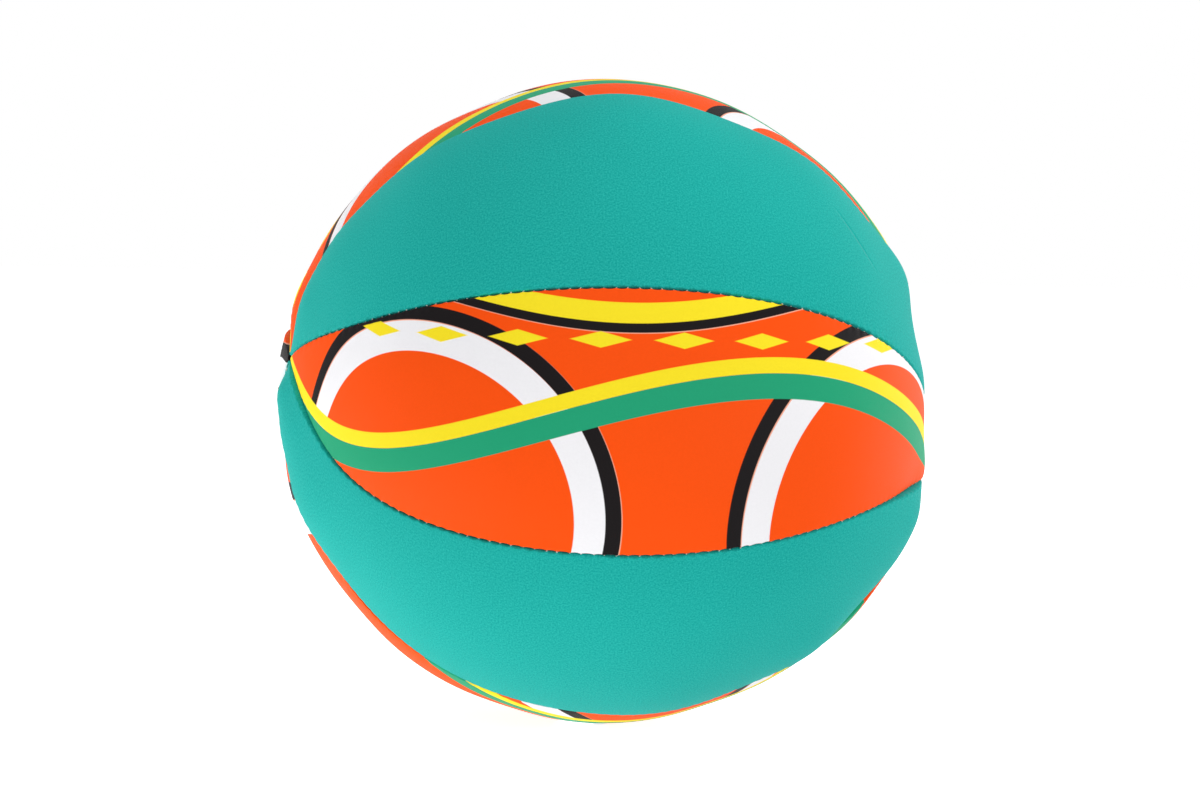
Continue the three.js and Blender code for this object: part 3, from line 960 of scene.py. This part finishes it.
def build_valve():
    """The valve: the neck with its flange and pocket, and the plug with its needle lead."""
    face, end = VALVE_FACE, VALVE_FACE - VALVE_LENGTH
    flange = BALL_RADIUS - CLOTH - CLEARANCE - PATCH_THICKNESS - BLADDER_WALL - FLANGE_RISE
    neck_profile = [
        (POCKET_MOUTH, end), (0.0046, end), (0.0055, end + 0.0003), (0.0062, end + 0.001),
        (POCKET_RADIUS, end + 0.0019), (POCKET_RADIUS, flange - 0.0026),
        (POCKET_RADIUS + 0.0003, flange - 0.0016), (0.0076, flange - 0.0011),
        (FLANGE_RADIUS - 0.0002, flange - 0.0014), (FLANGE_RADIUS, flange - 0.0011),
        (FLANGE_RADIUS, flange + 0.0002), (FLANGE_RADIUS - 0.0003, flange + 0.0004),
        (NECK_RADIUS + 0.0006, flange + 0.0008), (NECK_RADIUS, flange + FLANGE_RISE),
        (NECK_RADIUS, face - 0.0004), (NECK_RADIUS - 0.0001, face - 0.0001), (NECK_RADIUS - 0.0004, face),
        (PLUG_HEAD + 0.0006, face), (PLUG_HEAD + 0.0004, face - 0.0001), (PLUG_HEAD + 0.0003, face - 0.0004),
        (PLUG_HEAD + 0.0003, face - 0.0019), (PLUG_RADIUS + 0.0003, face - 0.0019),
        (PLUG_RADIUS + 0.0003, end + 0.0018), (PLUG_RADIUS, end + 0.0015), (POCKET_MOUTH, end + 0.0015)]
    neck = revolved("valve_neck", neck_profile)
    add_piece(neck, [VALVE_RUBBER], "valve_rubber", "valve_housing")

    tip = end + 0.0018
    plug_profile = [
        (0, tip), (0.0014, tip), (0.0021, tip + 0.0003), (PLUG_RADIUS, tip + 0.0011),
        (PLUG_RADIUS, face - 0.0016), (PLUG_HEAD - 0.00015, face - 0.0016), (PLUG_HEAD, face - 0.0014),
        (PLUG_HEAD, face - 0.0003), (PLUG_HEAD - 0.0001, face - 0.0001), (PLUG_HEAD - 0.0003, face),
        (2 * LEAD_RADIUS, face), (0.00155, face - 0.0001), (0.0011, face - 0.0004),
        (LEAD_RADIUS, face - 0.0008), (LEAD_RADIUS, face - 0.0078), (0.0006, face - 0.0084),
        (0, face - 0.0087)]
    add_piece(revolved("valve_plug", plug_profile), [VALVE_RUBBER], "valve_rubber", "valve_core")


build_panels()
build_stitches()
build_tips()
build_bladder()
build_patch()
build_valve()


# The floor, the lights and the camera
def seen_directly(tree):
    """1 for the camera's, mirrored and transmitted rays, and 0 for the light that falls on things."""
    path = tree.nodes.new("ShaderNodeLightPath")
    seen = Field(tree, path.outputs["Is Camera Ray"])
    seen = seen.most(Field(tree, path.outputs["Is Glossy Ray"]))
    return seen.most(Field(tree, path.outputs["Is Transmission Ray"]))


def build_floor():
    """A wide pale floor under the ball, which glows white where it is seen directly."""
    turn = np.linspace(0, FULL_TURN, 96, endpoint=False)
    level = np.full(len(turn), CAD_BOX[0].z - FLOOR_DROP)
    rim = np.stack([FLOOR_RADIUS * np.cos(turn), FLOOR_RADIUS * np.sin(turn), level], -1)
    floor = make_mesh("floor", rim, [list(range(len(turn)))])
    material, tree, shader = new_material("floor_white")
    tree.nodes.remove(shader)
    matt = tree.nodes.new("ShaderNodeBsdfDiffuse")
    matt.inputs["Color"].default_value = FLOOR_SHADE
    glow = tree.nodes.new("ShaderNodeEmission")
    glow.inputs["Strength"].default_value = FLOOR_GLOW
    nothing = tree.nodes.new("ShaderNodeEmission")
    nothing.inputs["Strength"].default_value = 0.0
    pick = tree.nodes.new("ShaderNodeMixShader")
    tree.links.new(seen_directly(tree).socket, pick.inputs[0])
    tree.links.new(nothing.outputs[0], pick.inputs[1])
    tree.links.new(glow.outputs[0], pick.inputs[2])
    both = tree.nodes.new("ShaderNodeAddShader")
    tree.links.new(matt.outputs[0], both.inputs[0])
    tree.links.new(pick.outputs[0], both.inputs[1])
    tree.links.new(both.outputs[0], tree.nodes["Material Output"].inputs["Surface"])
    floor.data.materials.append(material)
    floor.visible_diffuse = False
    floor.visible_shadow = False


def build_world():
    """A world that is white where it is seen directly, and a dim light on the ball."""
    world = bpy.data.worlds.new("studio")
    bpy.context.scene.world = world
    world.use_nodes = True
    tree = world.node_tree
    back = tree.nodes["Background"]
    back.inputs["Color"].default_value = (1, 1, 1, 1)
    level = seen_directly(tree) * (1.0 - WORLD_LIGHT) + WORLD_LIGHT
    tree.links.new(level.socket, back.inputs["Strength"])


def build_lights():
    """Softboxes round the ball, each turned to face it. The table is lit from below, as a light table
    is, so the floor lets that light through."""
    for name, place, wide, tall, watts in SOFTBOXES:
        lamp = bpy.data.lights.new(f"softbox_{name}", "AREA")
        lamp.shape = "RECTANGLE"
        lamp.size, lamp.size_y = wide, tall
        lamp.energy = watts
        box = bpy.data.objects.new(lamp.name, lamp)
        bpy.context.scene.collection.objects.link(box)
        box.location = place
        box.rotation_mode = "QUATERNION"
        box.rotation_quaternion = Vector(place).to_track_quat("Z", "Y")
        box.visible_camera = False


def build_camera():
    """The camera: it looks at the ball's centre along the photograph's direction, moved sideways by the
    few pixels that the ball stands off the picture's middle."""
    camera = bpy.data.cameras.new("camera")
    holder = bpy.data.objects.new("camera", camera)
    bpy.context.scene.collection.objects.link(holder)
    upright = Matrix(((1, 0, 0), (0, 0, 1), (0, -1, 0)))
    turned = (Matrix.Rotation(math.radians(CAMERA_TURN), 3, "Y")
              @ Matrix.Rotation(math.radians(CAMERA_RISE), 3, "X")
              @ Matrix.Rotation(math.radians(CAMERA_ROLL), 3, "Z") @ upright).transposed()
    away = CAMERA_DISTANCE / BALL_RADIUS
    focal_px = BALL_RADIUS_PX * math.sqrt(away ** 2 - 1)
    metre_per_px = CAMERA_DISTANCE / focal_px
    right = (IMAGE_WIDTH / 2 - BALL_CENTRE_PX[0]) * metre_per_px
    up = (BALL_CENTRE_PX[1] - IMAGE_HEIGHT / 2) * metre_per_px
    place = turned @ Vector((right, up, CAMERA_DISTANCE))
    holder.matrix_world = Matrix.Translation(place) @ turned.to_4x4()
    camera.sensor_width = SENSOR
    camera.lens = focal_px / IMAGE_WIDTH * SENSOR
    camera.clip_start, camera.clip_end = 0.05, 60
    bpy.context.scene.camera = holder


build_floor()
build_world()
build_lights()
build_camera()
bpy.context.scene.view_settings.view_transform = "Standard"
